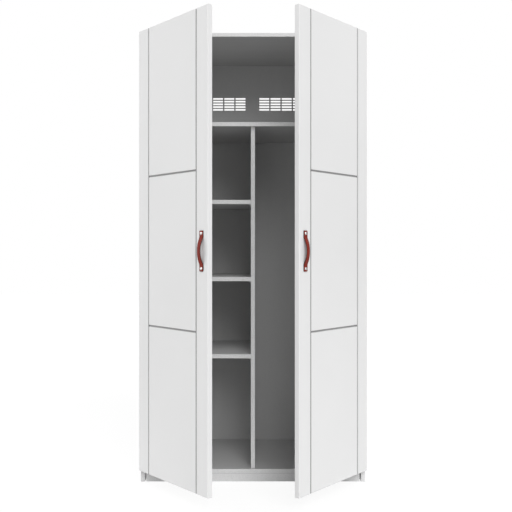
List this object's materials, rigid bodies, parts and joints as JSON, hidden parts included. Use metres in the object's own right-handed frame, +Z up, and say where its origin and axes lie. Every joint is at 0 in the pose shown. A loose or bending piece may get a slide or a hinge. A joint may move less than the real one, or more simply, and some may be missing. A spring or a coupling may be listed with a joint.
{
  "type": "two-door wardrobe",
  "caption": "Tall free-standing wardrobe with two hinged grooved doors, leather strap handles, a top compartment, a shelved side and a hanging side behind a centre divider.",
  "frame": {"origin": "on the floor, in the middle of the box around the wardrobe with its doors ajar", "axes": "+X to the right seen from the front, +Y to the back, +Z up"},
  "size_m": [1.0108, 0.9478, 2.004],
  "materials": {
    "white_melamine": "white melamine, fine satin grain",
    "white_hardboard": "white lacquered hardboard, satin",
    "door_lacquer": "white satin lacquer on a milled board",
    "softwood": "bare planed softwood",
    "red_brown_leather": "waxed full-grain leather",
    "satin_nickel": "satin nickel plate",
    "zinc_steel": "bright zinc plate",
    "white_plastic": "moulded, fine texture",
    "clear_silicone": "soft, slightly milky"
  },
  "bodies": {
    "carcass": {"left_side_panel": "white_melamine", "right_side_panel": "white_melamine", "top_board": "white_melamine", "upper_shelf": "white_melamine", "bottom_board": "white_melamine", "centre_divider": "white_melamine", "upper_small_shelf": "white_melamine", "middle_small_shelf": "white_melamine", "lower_small_shelf": "white_melamine", "back_panel": "white_hardboard", "wall_rail": "white_melamine", "plinth": "white_melamine", "plinth_blocks": "softwood", "plinth_screws": "zinc_steel", "floor_glides": "white_plastic", "cam_bolts": "zinc_steel", "cam_locks": "zinc_steel", "board_dowels": "softwood", "rail_dowels": "softwood", "divider_screws": "zinc_steel", "back_panel_screws": "zinc_steel", "shelf_pins": "zinc_steel", "catch_housings": "white_plastic", "catch_magnets": "zinc_steel", "catch_screws": "zinc_steel", "left_hinge_frame_leaves": "satin_nickel", "left_hinge_pins": "zinc_steel", "left_hinge_frame_screws": "zinc_steel", "right_hinge_frame_leaves": "satin_nickel", "right_hinge_pins": "zinc_steel", "right_hinge_frame_screws": "zinc_steel"},
    "left_door": {"left_door_panel": "door_lacquer", "left_hinge_door_leaves": "satin_nickel", "left_hinge_door_screws": "zinc_steel", "left_handle_strap": "red_brown_leather", "left_handle_studs": "satin_nickel", "left_handle_screws": "zinc_steel", "left_door_bumpers": "clear_silicone", "left_strike_plate": "zinc_steel", "left_strike_screws": "zinc_steel"},
    "right_door": {"right_door_panel": "door_lacquer", "right_hinge_door_leaves": "satin_nickel", "right_hinge_door_screws": "zinc_steel", "right_handle_strap": "red_brown_leather", "right_handle_studs": "satin_nickel", "right_handle_screws": "zinc_steel", "right_door_bumpers": "clear_silicone", "right_strike_plate": "zinc_steel", "right_strike_screws": "zinc_steel"}
  },
  "joints": [
    {"name": "left_door_swing", "type": "hinge", "parent": "carcass", "child": "left_door", "pos_m": [-0.4945, -0.09458, 1.031], "axis": [0, 0, -1], "range_deg": [-49.1, 60.9]},
    {"name": "right_door_swing", "type": "hinge", "parent": "carcass", "child": "right_door", "pos_m": [0.4945, -0.09458, 1.031], "axis": [0, 0, 1], "range_deg": [-49.1, 60.9]}
  ]
}
